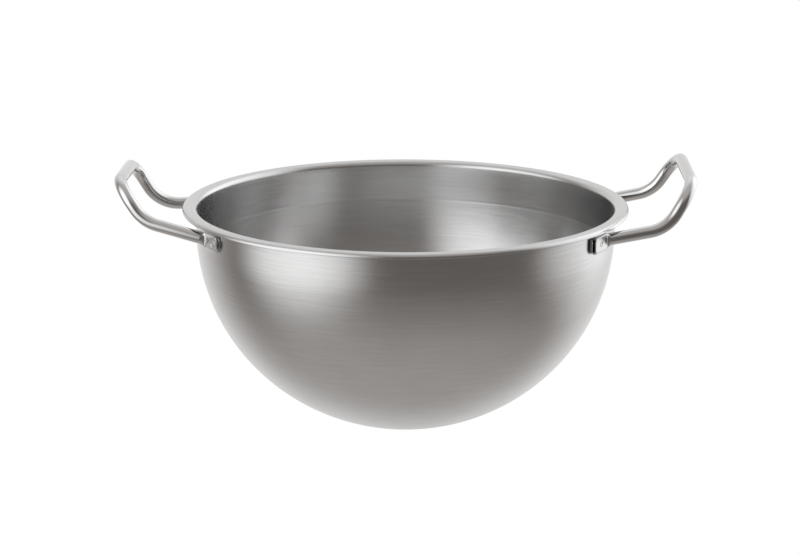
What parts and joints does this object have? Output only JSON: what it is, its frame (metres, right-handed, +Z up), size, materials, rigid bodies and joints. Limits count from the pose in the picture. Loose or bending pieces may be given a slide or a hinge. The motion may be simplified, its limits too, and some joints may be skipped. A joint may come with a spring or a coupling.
{
  "type": "mixing bowl",
  "caption": "Deep round-bottomed steel mixing bowl with a flat turned-down rim and bent tube handles spot welded under it.",
  "frame": {"origin": "centre of the flat base's underside", "axes": "+Z up along the bowl's axis, +X from the left handle to the right handle, +Y to the back"},
  "size_m": [0.5134, 0.4, 0.2384],
  "materials": {
    "satin_steel": "satin, turned brushing that runs round the bowl",
    "polished_steel": "polished drawn tube"
  },
  "bodies": {
    "root": {"bowl": "satin_steel", "left_handle": "polished_steel", "right_handle": "polished_steel"}
  },
  "joints": []
}
